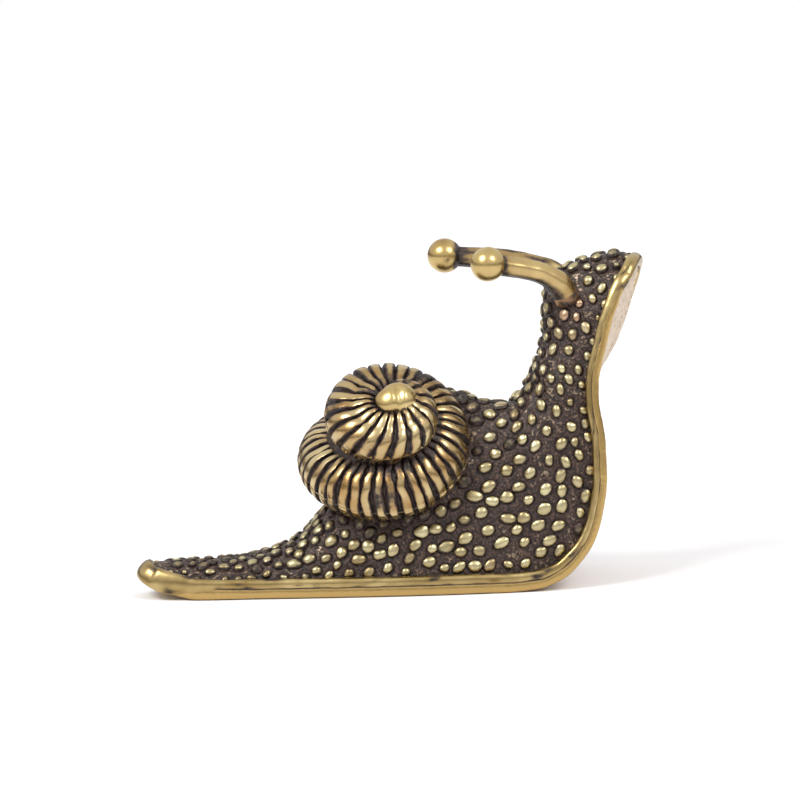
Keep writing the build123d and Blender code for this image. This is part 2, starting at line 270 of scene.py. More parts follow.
# Foot along, foot up, half width, thickness, twist, bend, back along, back up, lean
stations = [
    (-0.006, 0.088, 0.13, 0.80, 0.00, 1.00, 0.024, 0.172, 0.00),
    (0.000, 0.058, 0.27, 0.90, 0.00, 1.00, 0.030, 0.176, 0.00),
    (0.016, 0.042, 0.38, 1.00, 0.00, 0.95, 0.040, 0.180, 0.00),
    (0.043, 0.022, 0.46, 1.08, 0.00, 0.80, 0.056, 0.182, 0.00),
    (0.075, 0.008, 0.51, 1.10, 0.00, 0.65, 0.078, 0.182, 0.00),
    (0.105, 0.000, 0.56, 1.08, 0.00, 0.50, 0.105, 0.182, 0.00),
    (0.188, 0.000, 0.65, 1.00, 0.00, 0.15, 0.188, 0.178, 0.00),
    (0.291, 0.000, 0.76, 1.00, 0.00, 0.00, 0.291, 0.242, 0.05),
    (0.395, 0.000, 0.85, 1.00, 0.00, 0.00, 0.378, 0.455, 0.35),
    (0.499, 0.000, 0.93, 1.00, 0.00, 0.00, 0.450, 0.780, 0.85),
    (0.602, 0.000, 0.98, 1.00, 0.00, 0.00, 0.538, 0.940, 1.00),
    (0.706, 0.000, 1.00, 0.98, 0.00, 0.00, 0.615, 0.985, 0.90),
    (0.767, 0.007, 1.00, 0.95, 0.00, 0.00, 0.659, 0.955, 0.60),
    (0.815, 0.036, 0.99, 0.90, 0.00, 0.00, 0.685, 0.936, 0.30),
    (0.852, 0.088, 0.98, 0.84, 0.00, 0.00, 0.703, 0.933, 0.10),
    (0.878, 0.150, 0.97, 0.78, 0.00, 0.00, 0.719, 0.932, 0.00),
    (0.895, 0.233, 0.95, 0.73, 0.00, 0.00, 0.734, 0.945, 0.00),
    (0.905, 0.343, 0.92, 0.70, 0.00, 0.00, 0.750, 0.983, 0.00),
    (0.904, 0.457, 0.87, 0.68, 0.00, 0.00, 0.768, 1.041, 0.00),
    (0.899, 0.554, 0.82, 0.67, 0.13, 0.00, 0.782, 1.123, 0.00),
    (0.911, 0.634, 0.78, 0.67, 0.55, 0.00, 0.793, 1.205, 0.00),
    (0.933, 0.719, 0.77, 0.67, 0.86, 0.00, 0.802, 1.301, 0.00),
    (0.952, 0.808, 0.76, 0.67, 1.00, 0.00, 0.803, 1.425, 0.00),
    (0.970, 0.889, 0.69, 0.65, 1.00, 0.00, 0.810, 1.545, 0.00),
    (0.986, 0.945, 0.54, 0.63, 0.89, 0.00, 0.867, 1.650, 0.00),
    (0.993, 0.978, 0.35, 0.60, 0.67, 0.00, 0.944, 1.698, 0.00),
    (1.000, 1.000, 0.15, 0.57, 0.44, 0.00, 0.983, 1.712, 0.00),
]

# %% [markdown]
# Straight lines between the stations would leave corners, and an ordinary smooth curve would
# swing past them. A curve that is level at every peak does neither.

# %% Rows between the stations


def climb(rows, places, index, column):
    """Slope of one column at one row, level at every peak."""
    if index in (0, len(rows) - 1):
        near = min(index, len(rows) - 2)
        return (rows[near + 1][column] - rows[near][column]) / (places[near + 1] - places[near])
    before = (rows[index][column] - rows[index - 1][column]) / (places[index] - places[index - 1])
    after = (rows[index + 1][column] - rows[index][column]) / (places[index + 1] - places[index])
    if before * after <= 0:
        return 0
    return 2 * before * after / (before + after)


def row_at(rows, places, place):
    """One row between the rows of a table."""
    index = 0
    while index < len(rows) - 2 and place > places[index + 1]:
        index += 1
    span = places[index + 1] - places[index]
    part = (place - places[index]) / span
    row = []
    for column in range(len(rows[0])):
        start = rows[index][column]
        end = rows[index + 1][column]
        leave = climb(rows, places, index, column) * span * part * (1 - part) ** 2
        arrive = climb(rows, places, index + 1, column) * span * part * part * (part - 1)
        row.append(start + (end - start) * ramp(part, 0, 1) + leave + arrive)
    return row


# %% The rail along the foot


def foot_point(row):
    """A point of the foot line, on the face that rests on the table."""
    return Vector((row[0] * snail_length - tail_reach, -row[5] * tail_bend, row[1] * head_height))


def back_point(row):
    """A point of the back, above the foot."""
    side = row[8] * hump_lean - row[5] * tail_bend
    return Vector((row[6] * snail_length - tail_reach, side, row[7] * hump_height))


places = [0]
for here, there in zip(stations, stations[1:]):
    foot_step = (foot_point(there) - foot_point(here)).length
    back_step = (back_point(there) - back_point(here)).length
    places.append(places[-1] + (foot_step + back_step) / 2)
rail_count = 241
row_length = places[-1] / (rail_count - 1)
rows = [row_at(stations, places, row_length * step) for step in range(rail_count)]

rail = []
for index, row in enumerate(rows):
    point = foot_point(row)
    before = foot_point(rows[max(index - 1, 0)])
    after = foot_point(rows[min(index + 1, rail_count - 1)])
    along = (after - before).normalized()
    twist = Quaternion(along, radians(-row[4] * head_twist))
    across = twist @ Vector((0, 1, 0))
    inward = along.cross(across).normalized()
    thick = row[3] * foot_thickness
    rise = twist @ (back_point(row) - point - inward * thick / 3)
    rail.append((point, along, across, inward, rise, row[2] * foot_half_width, thick))


def on_rail(share):
    """Point, along, across, inward, rise, half width and thickness at a share of the rail."""
    place = min(max(share, 0), 1) * (rail_count - 1)
    index = min(int(place), rail_count - 2)
    part = place - index
    return [here + (there - here) * part for here, there in zip(rail[index], rail[index + 1])]


print("rail of", rail_count, "rows,", round(places[-1], 1), "mm long")

# %% [markdown]
# Most pieces here are a flat grid bent into shape: Blender makes the grid, and a function
# says where each of its points goes and how far the buffing wheel reaches there. In a few
# places, on the back of the shell, under the stalks and on the plate's lower edge, that value
# is changed further as painted shade. It is kept as an attribute of the mesh, for the
# materials to read. Edges that meet are merged and open ends are filled, so each piece is
# closed.

# %% Bending a grid


def bend_grid(name, steps_along, steps_around, place):
    """place(u, v) gives a point in mm and its finish value, which holds painted shade in a few
    places, for u and v from 0 to 1.
    """
    piece = bmesh.new()
    bmesh.ops.create_grid(piece, x_segments=steps_along, y_segments=steps_around, size=0.5)
    buffed_and_shade = piece.verts.layers.float.new("buffed_and_shade")
    for vertex in piece.verts:
        point, shine = place(vertex.co.x + 0.5, vertex.co.y + 0.5)
        vertex.co = point * MM
        vertex[buffed_and_shade] = shine
    bmesh.ops.remove_doubles(piece, verts=piece.verts, dist=0.0004 * MM)
    open_edges = [edge for edge in piece.edges if edge.is_boundary]
    bmesh.ops.holes_fill(piece, edges=open_edges, sides=0)
    bmesh.ops.recalc_face_normals(piece, faces=piece.faces)
    return add_object(name, piece)


def report(made):
    """Prints the size of a piece and its count of faces."""
    size = [round(length / MM, 1) for length in made.dimensions]
    print(made.name, size, "mm,", len(made.data.polygons), "faces")


# %% [markdown]
# The shell is a tube that winds out from a knob, clockwise, and drops as it goes. Each row
# of this table is one eighth of a turn: the outer edge and the tube's radius as shares of
# the shell's radius, and the drop as a share of its height. Towards the middle the tube is
# filled out, so that no hole is left round the knob, which sits a little off the axis.

# %% Whorls of the shell
shell_radius = 6.5
shell_height = 8.2
shell_apex = Vector((-0.15, -5.2, 15.3))
shell_elevation = radians(46)
shell_azimuth = radians(5)
knob_x = 0.36
knob_y = 0.34
steps_per_turn = 8
step_degrees = 45
first_degrees = 90
fill_inside = 0.72
fill_drop = 0.52
whorls = [
    (0.31, 0.140, 0.185),
    (0.38, 0.170, 0.210),
    (0.46, 0.190, 0.235),
    (0.54, 0.215, 0.265),
    (0.62, 0.240, 0.300),
    (0.68, 0.262, 0.340),
    (0.75, 0.285, 0.385),
    (0.79, 0.305, 0.430),
    (0.84, 0.325, 0.480),
    (0.885, 0.345, 0.530),
    (0.925, 0.362, 0.585),
    (0.96, 0.376, 0.635),
    (1.00, 0.385, 0.700),
    (1.01, 0.385, 0.820),
    (1.00, 0.375, 0.990),
    (0.97, 0.340, 1.130),
    (0.93, 0.280, 1.230),
    (0.88, 0.200, 1.300),
]
whorl_places = list(range(len(whorls)))
shell_out = Vector((
    cos(shell_elevation) * sin(shell_azimuth),
    -cos(shell_elevation) * cos(shell_azimuth),
    sin(shell_elevation),
))
shell_x = Vector((0, 0, 1)).cross(shell_out).normalized()
shell_y = shell_out.cross(shell_x)


def in_shell(x, y, out):
    """A place given in the shell's own directions, from its apex."""
    return shell_apex + shell_x * x + shell_y * y + shell_out * out


def tube_point(step, turn, depth):
    """A point of the tube's skin, at a turn round the tube that starts at its outer edge."""
    edge, tube, drop = row_at(whorls, whorl_places, min(max(step, 0), len(whorls) - 1))
    angle = radians(first_degrees - step_degrees * step)
    radius = tube * shell_radius - depth
    reach = (edge - tube) * shell_radius + radius * cos(turn)
    aside = 1 - ramp(step, 0, 7)
    x = reach * cos(angle) + knob_x * aside
    y = reach * sin(angle) + knob_y * aside
    fill = (fill_inside - fill_drop * ramp(step, 7, 11)) * max(0, -cos(turn)) * radius
    return in_shell(x, y, radius * sin(turn) + fill - drop * shell_height)


# %% [markdown]
# Each whorl dives under the next one. Where two of them touch round the tube follows from
# their two circles, and there the wheel can't reach, so the seam stays dark.

# %% Seams of the spiral
open_low = -62
open_high = 142


def touch_angles(step, other):
    """Degrees round the tube at which another whorl lies, and how far it reaches either way."""
    edge, tube, drop = row_at(whorls, whorl_places, step)
    other_edge, other_tube, other_drop = row_at(whorls, whorl_places, other)
    aside = (other_edge - other_tube - edge + tube) * shell_radius
    above = (drop - other_drop) * shell_height
    gap = hypot(aside, above)
    tube, other_tube = tube * shell_radius, other_tube * shell_radius
    share = (gap * gap + tube * tube - other_tube * other_tube) / (2 * gap * tube)
    return degrees(atan2(above, aside)), degrees(acos(max(-1, min(1, share))))


def open_range(step):
    """Lowest and highest degrees round the tube that can be seen."""
    low, high = open_low, open_high
    if step > steps_per_turn:
        towards, half = touch_angles(step, step - steps_per_turn)
        high = high + (towards - half - high) * ramp(step, 8, 8.8)
    if step < steps_per_turn + 1:
        towards, half = touch_angles(step, step + steps_per_turn)
        low = towards + half
    return low, high


# %% [markdown]
# The shell's ribs run from one seam of the spiral to the next. In the wax model V grooves
# were cut, and what is left between two grooves is a rib with a flat top. The ribs show on
# the outline, so they are real shape here and not a bump pattern. The grid has a dozen
# columns per rib, closest together at the groove, so that its edges stay crisp.

# %% Ribs
rib_pitch = 1.00
rib_pitch_inside = 1.30
groove_depth = 0.30
groove_share = 0.17
rib_crown = 0.09
rib_wobble = 0.04
around_shell = 44
rib_columns = [0, 0.06, 0.12, 0.175, 0.23, 0.36, 0.50, 0.64, 0.77, 0.825, 0.88, 0.94]

ribs_so_far = [0]
fine_steps = 20
for index in range((len(whorls) - 1) * fine_steps):
    step = (index + 0.5) / fine_steps
    edge = row_at(whorls, whorl_places, step)[0]
    pitch = rib_pitch_inside + (rib_pitch - rib_pitch_inside) * ramp(step, 7.5, 9.5)
    length = edge * shell_radius * radians(step_degrees) / fine_steps
    ribs_so_far.append(ribs_so_far[-1] + length / pitch)
rib_count = int(ribs_so_far[-1])
fine_places = np.arange(len(ribs_so_far)) / fine_steps
column_steps = []
for rib in range(rib_count):
    for column in rib_columns:
        wanted = rib + column + 0.16 * noise(Vector((rib * 3.7, column * 0.4, 0)))
        column_steps.append(np.interp(wanted, ribs_so_far, fine_places))
column_steps = sorted(column_steps)
print("shell:", rib_count, "ribs")


def rib_skin(u, v):
    """A point of the ribbed shell. v goes once round the tube."""
    column = round(u * (len(column_steps) - 1))
    turn = 2 * pi * v
    rib, phase = divmod(column, len(rib_columns))
    share = rib_columns[phase]
    from_groove = min(share, 1 - share)
    lean = (0.13 - 0.27 * ramp(column_steps[column], 7, 12)) * sin(turn)
    lean += 0.05 * noise(Vector((rib * 0.9, 3 * cos(turn), 5)))
    step = column_steps[column] - lean
    face = ramp(cos(turn - radians(35)), -0.75, -0.35)
    wide = groove_share * (1 + 0.35 * noise(Vector((rib * 1.7, 2 * sin(turn), 9))))
    cut = max(0, 1 - from_groove / wide) * face
    crown = rib_crown * (1 - (2 * share - 1) ** 2)
    wobble = rib_wobble * noise(Vector((rib * 2.3, turn, 2)))
    size = ramp(step, -1, 7)
    depth = groove_depth * (0.55 + 0.45 * size) * cut - crown * face - wobble
    point = tube_point(step, turn, depth)
    low, high = seams[column]
    angle = (degrees(turn) + 180) % 360 - 180
    fade = 24 + 14 * ramp(column_steps[column], 7, 9)
    seam = ramp(angle, low, low + 22) * ramp(angle, high, high - fade)
    dull = 0.82 + 0.6 * noise(Vector((rib * 1.3, cos(turn), sin(turn))))
    # Painted shade: ribs on the side of each whorl that faces up and back are made up to 35%
    # duller.
    painted_back_shade = 1 - 0.35 * ramp(sin(radians(first_degrees - step_degrees * step)), 0.35, 0.95)
    shine = ramp(from_groove, wide * 0.6, wide * 1.9) * seam * min(dull, 1) * painted_back_shade
    return point, shine


seams = [open_range(step) for step in column_steps]
ribbed_shell = bend_grid("ribbed_shell", len(column_steps) - 1, around_shell, rib_skin)
report(ribbed_shell)

# %% [markdown]
# A whorl alone is a coiled tube, and one could look in between two turns of it. The casting
# is solid there. A blunt cone along the axis, just inside the whorls, closes the gaps and
# stays dark, as no wheel gets to it.

# %% Core of the shell
core_profile = [
    (0.9, -1.2), (1.7, -1.4), (2.8, -2.4), (3.6, -3.6), (4.3, -4.8), (4.7, -6.4), (4.5, -7.6),
    (3.2, -8.4), (0.9, -8.4),
]


def spin_profile(profile, steps):
    """A closed outline of (radius, height) spun once round the z axis."""
    piece = bmesh.new()
    corners = [piece.verts.new(Vector((radius, 0, height))) for radius, height in profile]
    edges = [piece.edges.new(pair) for pair in zip(corners, corners[1:] + corners[:1])]
    bmesh.ops.spin(
        piece, geom=corners + edges, cent=(0, 0, 0), axis=(0, 0, 1),
        angle=2 * pi, steps=steps, use_merge=True,
    )
    bmesh.ops.remove_doubles(piece, verts=piece.verts, dist=0.001)
    bmesh.ops.recalc_face_normals(piece, faces=piece.faces)
    for face in piece.faces:
        face.smooth = True
    return piece


core = spin_profile(core_profile, 64)
core_mesh = bpy.data.meshes.new("shell_core")
for vertex in core.verts:
    vertex.co = in_shell(*vertex.co) * MM
core.to_mesh(core_mesh)
core.free()
whole_shell = bmesh.new()
whole_shell.from_mesh(ribbed_shell.data)
whole_shell.from_mesh(core_mesh)
whole_shell.to_mesh(ribbed_shell.data)
whole_shell.free()
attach(ribbed_shell, "root")
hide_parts("shell_casting")

# %% [markdown]
# A polished knob closes the middle of the spiral. It is the head of the pin that goes
# through the shell into the body. On the real one the wheel has left two soft facets with a
# crease between them, and a point at one side where the spiral begins.

# %% Knob and pin
knob_radius = 1.46
knob_point = 0.38
knob_squash = 0.92
knob_low = -0.95
knob_rise = 1.20
knob_crease = 0.22
shank_radius = 0.8
shank_low = -11.2
shank_top = -1.1


def knob_skin(u, v):
    """A point of the knob. u goes from its foot to its top and v round it."""
    turn = 2 * pi * v
    lift = sin(u * pi / 2)
    spread = cos(u * pi / 2)
    round_x = cos(turn)
    round_y = sin(turn)
    point_side = ramp(cos(turn - radians(200)), 0.55, 1.0)
    radius = knob_radius + knob_point * point_side * (1 - 0.5 * lift)
    crease = ramp(abs(round_x * spread + 0.05), 0.35, 0.0) * ramp(round_y * spread, 0.7, 0.2)
    height = knob_low + knob_rise * lift - knob_crease * crease
    x = knob_x + radius * spread * round_x
    y = knob_y + radius * spread * round_y * knob_squash
    return in_shell(x, y, height), ramp(u, 0.05, 0.25)


apex_knob = bend_grid("apex_knob", 20, 40, knob_skin)
shank = bmesh.new()
shank.from_mesh(apex_knob.data)
turn = (-shell_out).to_track_quat("-Z", "Y").to_matrix().to_4x4()
middle = in_shell(0, 0, (shank_low + shank_top) / 2) * MM
bmesh.ops.create_cone(
    shank, cap_ends=True, segments=24, radius1=shank_radius * MM, radius2=shank_radius * MM,
    depth=(shank_top - shank_low) * MM, matrix=Matrix.Translation(middle) @ turn,
)
shank.to_mesh(apex_knob.data)
shank.free()
report(apex_knob)
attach(apex_knob, "root")
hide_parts("shell_pin")

# %% [markdown]
# The body's skin is an arch over the foot at every station. Under the shell it is held below
# the middle of the last whorl, which sinks the shell into the body as on the casting.

# %% Arch of the body
arch_power = 0.8
shell_inset = 0.30
room_slope = 2.2


def body_half(half):
    """Half width of the body inside the rim."""
    return max(half - rim_width, half / 2)


def make_room(place):
    """Moves a place of the skin down, if it would come up through the shell."""
    offset = place - shell_apex
    x = offset.dot(shell_x)
    y = offset.dot(shell_y)
    out = offset.dot(shell_out)
    step = steps_per_turn + (first_degrees - degrees(atan2(y, x))) % 360 / step_degrees
    if step < steps_per_turn + 1:
        step += steps_per_turn
    edge, tube, drop = row_at(whorls, whorl_places, min(step, len(whorls) - 1))
    reach = sqrt(x * x + y * y)
    inside = edge * shell_radius - shell_inset - reach
    if inside <= 0:
        return place
    limit = -drop * shell_height - 0.3 * min(inside, 1.5)
    lowered = min(out, max(limit, out - room_slope * inside))
    return place + shell_out * (lowered - out)


def body_point(share, turn):
    """A point of the skin. turn is 0 at the left edge of the foot and 1 at the right edge."""
    point, along, across, inward, rise, half, thick = on_rail(share)
    angle = pi * min(max(turn, 0), 1)
    side = copysign(abs(cos(angle)) ** arch_power, cos(angle))
    place = point + inward * (thick / 3) + across * (body_half(half) * side)
    place = place + rise * sin(angle) ** arch_power
    return make_room(place)


def body_normal(share, turn):
    """Directions along the skin, round it and out of it."""
    along = body_point(share + 0.004, turn) - body_point(share - 0.004, turn)
    around = body_point(share, turn + 0.01) - body_point(share, turn - 0.01)
    out = around.cross(along).normalized()
    return along.normalized(), around.normalized(), out


# %% [markdown]
# The beads on the skin were single drops of wax, set by hand: no two alike, but never far
# apart. A simple rule spaces them evenly without a grid. Of many possible places, take the
# one that is farthest from all beads so far, again and again, until the gap is filled. The
# beads are closer on the tail, and they keep away from the rim, the shell and the stalks.

# %% Places for the beads
share_steps = 600
edge_margin = 0.95
shell_margin = 0.55
stalk_margin = 1.25
under_shell = 5.2
shell_bottom = 3.5
shell_back = 2
stalk_roots = [Vector((13.6, -1.5, 22.7)), Vector((13.3, 2.1, 22.7))]
shell_tree = BVHTree.FromObject(ribbed_shell, bpy.context.evaluated_depsgraph_get())
candidates = []
for along_step in range(22, 588):
    share = along_step / share_steps
    for around_step in range(1, 100):
        turn = around_step / 100
        place = body_point(share, turn)
        edge_gap = (place - body_point(share, 0 if turn < 0.5 else 1)).length
        margin = edge_margin + 0.25 * ramp(share, 0.15, 0.35) - 0.60 * ramp(share, 0.75, 0.85)
        if edge_gap < margin:
            continue
        if shell_tree.find_nearest(place * MM)[3] < shell_margin * MM:
            continue
        from_axis = (place - shell_apex).cross(shell_out).length
        if from_axis < under_shell and place.z > shell_bottom and place.y < shell_back:
            continue
        if min((place - root).length for root in stalk_roots) < stalk_margin:
            continue
        candidates.append((place, share, turn))

# %% Choosing the places
bead_gap = 0.80
spots = np.array([tuple(place) for place, share, turn in candidates])
gaps = np.array([
    bead_gap + 0.24 * ramp(share, 0.12, 0.42) - 0.08 * ramp(share, 0.65, 0.75)
    for place, share, turn in candidates
])
nearest = np.full(len(spots), 99.0)
chosen = []
pick = len(spots) // 2
while nearest[pick] > 1 or not chosen:
    chosen.append(pick)
    nearest = np.minimum(nearest, np.linalg.norm(spots - spots[pick], axis=1) / gaps)
    pick = int(nearest.argmax())
print("beads:", len(chosen))

# %% [markdown]
# A bead is the upper half of a small sphere with a few dozen faces, stretched to an oval,
# turned roughly the way the body runs, and sunk a little into the skin. The wheel has
# polished its top. Beads near the shell and near the rim got less of it, and so did those on
# the tail, which are smaller and lower too. A few beads under the near stalk are pink: some
# of the braze ran over them.

# %% One bead
dome = bmesh.new()
bmesh.ops.create_uvsphere(dome, u_segments=12, v_segments=8, radius=1)
lower = [vertex for vertex in dome.verts if vertex.co.z < -0.1]
bmesh.ops.delete(dome, geom=lower, context="VERTS")
dome_mesh = bpy.data.meshes.new("bead_dome")
dome.to_mesh(dome_mesh)
dome.free()

# %% All beads
bead_half = 0.33
bead_tall = 0.20
bead_sunk = 0.05
copper_middle = Vector((13.2, -2.3, 20.8))
beads = bmesh.new()
buffed_and_shade = beads.verts.layers.float.new("buffed_and_shade")
copper = beads.verts.layers.float.new("copper")
bead_tree = KDTree(len(chosen))
bead_frames = []
for number, pick in enumerate(chosen):
    place, share, turn = candidates[pick]
    along, around, out = body_normal(share, turn)
    chance = [noise(Vector((number * 7.31, k * 5.17, 1.7))) for k in range(6)]
    swing = Quaternion(out, radians(18 + 65 * chance[0]))
    long_way = swing @ along
    wide_way = out.cross(long_way)
    grown = ramp(share, 0.04, 0.22)
    size = bead_half + 0.07 * grown
    size += 0.07 * ramp(share, 0.15, 0.45) - 0.07 * ramp(share, 0.65, 0.75)
    inner = ramp((place - body_point(share, 0 if turn < 0.5 else 1)).length, 0.8, 2.4)
    size = (size + 0.14 * chance[1]) * (0.85 + 0.15 * inner)
    long_half = size * (1.28 + 0.40 * chance[2])
    wide_half = size * (1.00 + 0.15 * chance[3])
    tall = bead_tall + 0.13 * grown + 0.06 * chance[4]
    near_shell = shell_tree.find_nearest(place * MM)[3] / MM
    level = (0.35 + 0.65 * ramp(near_shell, 0.4, 2.2)) * (0.88 + 0.6 * chance[5])
    level *= (0.70 + 0.30 * ramp(share, 0.08, 0.35)) * (0.78 + 0.22 * inner)
    redness = ramp((place - copper_middle).length, 2.4, 0.9) * 0.8 + max(0, chance[0] - 0.3)
    columns = (long_way * long_half, wide_way * wide_half, out * tall, place - out * bead_sunk)
    turned = Matrix([column.to_4d() for column in columns]).transposed()
    turned[3][0:4] = (0, 0, 0, 1)
    first = len(beads.verts)
    beads.from_mesh(dome_mesh)
    beads.verts.ensure_lookup_table()
    for vertex in beads.verts[first:]:
        local = vertex.co.copy()
        bump = 1 + 0.20 * noise(local * 1.3 + Vector((number * 3.1, 0, 0)))
        vertex.co = (turned @ (local * bump)) * MM
        vertex[buffed_and_shade] = level * ramp(local.z, 0.30, 0.95)
        vertex[copper] = min(max(redness, 0), 1)
    bead_tree.insert(place, number)
    bead_frames.append((place, long_way / long_half, wide_way / wide_half))
bead_tree.balance()
skin_beads = add_object("skin_beads", beads)
report(skin_beads)
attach(skin_beads, "root")
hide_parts("body_casting")

# %% [markdown]
# Round each bead the skin is pressed in, a small moat that holds the darkest patina and sets
# the bead off. The skin's grid is fine enough to follow those moats, and the grain between
# the beads is left to the material.

# %% Skin of the body
skin_start = 0.006
skin_end = 0.985
arch_share = 0.88
moat_outer = 1.75
moat_inner = 1.15
moat_depth = 0.07
bulge_height = 0.05
farthest_bead = 2.0


def skin_point(u, v):
    """A point of the skin with its moats. The last part of v closes it under the foot."""
    share = skin_start + (skin_end - skin_start) * u
    if v > arch_share:
        left = body_point(share, 0)
        right = body_point(share, 1)
        return right + (left - right) * (v - arch_share) / (1 - arch_share), 0
    turn = v / arch_share
    place = body_point(share, turn)
    number, gap = bead_tree.find(place)[1:]
    bead, long_way, wide_way = bead_frames[number]
    offset = place - bead
    oval = sqrt(offset.dot(long_way) ** 2 + offset.dot(wide_way) ** 2)
    moat = ramp(oval, moat_outer, moat_inner)
    bulge = noise(place * 0.9)
    edge = ramp(min(turn, 1 - turn), 0, 0.03)
    if gap > farthest_bead:
        moat = 0
    out = body_normal(min(max(share, 0.05), 0.99), min(max(turn, 0.02), 0.98))[2]
    place = place + out * (edge * (bulge_height * bulge - moat_depth * moat))
    return place, (0.55 + 0.45 * noise(place * 2.1)) * (1 - moat)


body_skin = bend_grid("body_skin", 400, 150, skin_point)
report(body_skin)
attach(body_skin, "root")
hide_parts("body_casting")

# %% [markdown]
# Under the body lies the foot: a plate as wide as the snail, ground flat where it rests, and
# on its edge a round bead of brass that frames the beaded skin. Both ends of the plate are
# rounded off, so the last few rows are drawn in along a half circle.

# %% Sole plate
end_share = 0.014
foot_start = 0.010
foot_end = 0.962
plate_share = 0.66
flat_part = 0.8
side_part = 0.4
bowl_depth = 0.16
pit_depth = 0.05
plate_dent = 0.02


def rounded_end(u):
    """Share on the rail, how far past the end, and how much is left of the width."""
    if u < end_share:
        over = 1 - u / end_share
        return foot_start, -sin(over * pi / 2), cos(over * pi / 2)
    if u > 1 - end_share:
        over = 1 - (1 - u) / end_share
        return foot_end, sin(over * pi / 2), cos(over * pi / 2)
    part = (u - end_share) / (1 - 2 * end_share)
    return foot_start + (foot_end - foot_start) * part, 0, 1


def plate_point(u, v):
    """A point of the plate. v starts in the middle of its outer face and goes once round."""
    share, over, left_over = rounded_end(u)
    point, along, across, inward, rise, half, thick = on_rail(share)
    high = thick * plate_share
    radius = high / 2
    centre = point + along * (over * radius * 1.3) + inward * radius
    radius *= max(left_over, 0.02)
    half = max(half * (0.35 + 0.65 * left_over) - 0.14 * ramp(share, 0.12, 0.04), radius)
    flat = max(half - radius, 0.01)
    quarter = v * 4 % 4
    if quarter < flat_part or quarter > 4 - flat_part:
        part = quarter / flat_part if quarter < flat_part else (quarter - 4) / flat_part
        place = centre + across * (flat * part) - inward * radius
        bowl = bowl_depth * ramp(share, 0.62, 0.72) * ramp(1 - abs(part), 0, 0.5) * left_over
        pit = pit_depth * noise(place * 2.4) * ramp(share, 0.55, 0.65)
        face = ramp(1 - abs(part), 0.02, 0.12) * ramp(share, 0.45, 0.55)
        return place + inward * (bowl + pit), 1 - face
    if 1.2 <= quarter <= 2.8:
        part = (2 - quarter) / flat_part
        return centre + across * (flat * part) + inward * radius, 0.4
    side = 1 if quarter < 2 else -1
    past = quarter - flat_part if side > 0 else 4 - flat_part - quarter
    angle = past / side_part * pi
    dent = plate_dent * noise(centre * 0.7)
    out = across * (side * (flat + (radius + dent) * abs(sin(angle)) ** 0.6))
    place = centre + out - inward * ((radius + dent) * cos(angle))
    # Painted shade: along the flat part of the foot, the rounded lower edge of the plate is given
    # the dark oxide colour (value 2). The crease at the top of the edge, under the rim, is the real
    # dark seam.
    under = ramp(angle, 0.25, 0.75) if 0.10 < share < 0.5 else 1
    crease = max(ramp(angle, 2.25, 2.0), ramp(share, 0.55, 0.65), ramp(share, 0.13, 0.08))
    return place, 2 - min(crease, under)


sole = bend_grid("sole", 300, 80, plate_point)
report(sole)
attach(sole, "root")
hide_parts("sole_plate")

# %% [markdown]
# The bead on the edge is one closed loop, up the right side, round the tip of the head and
# down the left side to the tail. The wheel touches it most, so it is the brightest line on
# the snail, with a dark seam where it meets the plate.

# %% Rim
rim_side = 0.40
rim_share = 0.31
rim_start = 0.012
rim_end = 0.945
rim_power = 0.6
rim_dent = 0.03
cap_part = 0.012


def rim_centre(share, side):
    """Middle of the bead on one side, its directions and its two half sizes."""
    share = rim_start + share * (rim_end - rim_start)
    point, along, across, inward, rise, half, thick = on_rail(share)
    lip = ramp(share, 0.085, 0.025)
    broad = ramp(share, 0.80, 0.93)
    wide = rim_side + 0.12 * lip + 0.12 * broad
    tall = thick * (rim_share + 0.26 * lip + 0.22 * broad)
    out = max(half - wide * 1.02 + 0.04 * broad, 0.12)
    centre = point + across * (side * out) + inward * (thick * (0.70 - 0.22 * lip - 0.24 * broad))
    whole = max(ramp(share, 0.13, 0.08), broad, 0.35 * ramp(share, 0.55, 0.65))
    return centre, across * side, inward, along, wide, tall, whole


def rim_cap(share, side, part):
    """The same on a half circle round an end of the foot, from one side to the other."""
    here, outward, inward, along, wide, tall, whole = rim_centre(share, side)
    there = rim_centre(share, -side)[0]
    onward = along if share == 1 else -along
    centre = (here + there) / 2 + (here - there) / 2 * cos(part * pi)
    centre += onward * (here - there).length / 6 * sin(part * pi)
    outward = outward * cos(part * pi) + onward * sin(part * pi)
    return centre, outward, inward, along, wide, tall, whole


def rim_point(u, v):
    """A point of the bead. u goes once round the foot and v once round the bead."""
    side_length = 0.5 - cap_part
    if u < side_length:
        found = rim_centre(u / side_length, -1)
    elif u < 0.5:
        found = rim_cap(1, -1, (u - side_length) / cap_part)
    elif u < 1 - cap_part:
        found = rim_centre(1 - (u - 0.5) / side_length, 1)
    else:
        found = rim_cap(0, 1, (u - 1 + cap_part) / cap_part)
    centre, outward, inward, along, wide, tall, whole = found
    angle = 2 * pi * v
    dent = rim_dent * (noise(centre * 0.8) + noise(centre * 3.1) / 2)
    square = copysign(abs(cos(angle)) ** rim_power, cos(angle))
    side = outward * ((wide + dent) * square)
    place = centre + side + inward * ((tall + dent) * sin(angle))
    seam = max(ramp(sin(angle), -0.60, -0.28), whole)
    inner = ramp(cos(angle), -0.80, -0.45)
    worn = 0.80 + 0.8 * noise(centre * 0.9 + Vector((0, 0, 1.5 * sin(angle))))
    return place, seam * inner * min(worn, 1)


foot_bead = bend_grid("foot_bead", 700, 24, rim_point)
report(foot_bead)
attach(foot_bead, "root")
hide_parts("foot_rim")

# %% [markdown]
# The eye stalks are bent brass rod. They leave the head, lean back over the shell and end in
# a ball each. They were filed by hand and have soft flats along them, so each is a grid bent
# round its route and not a curve with a thickness.

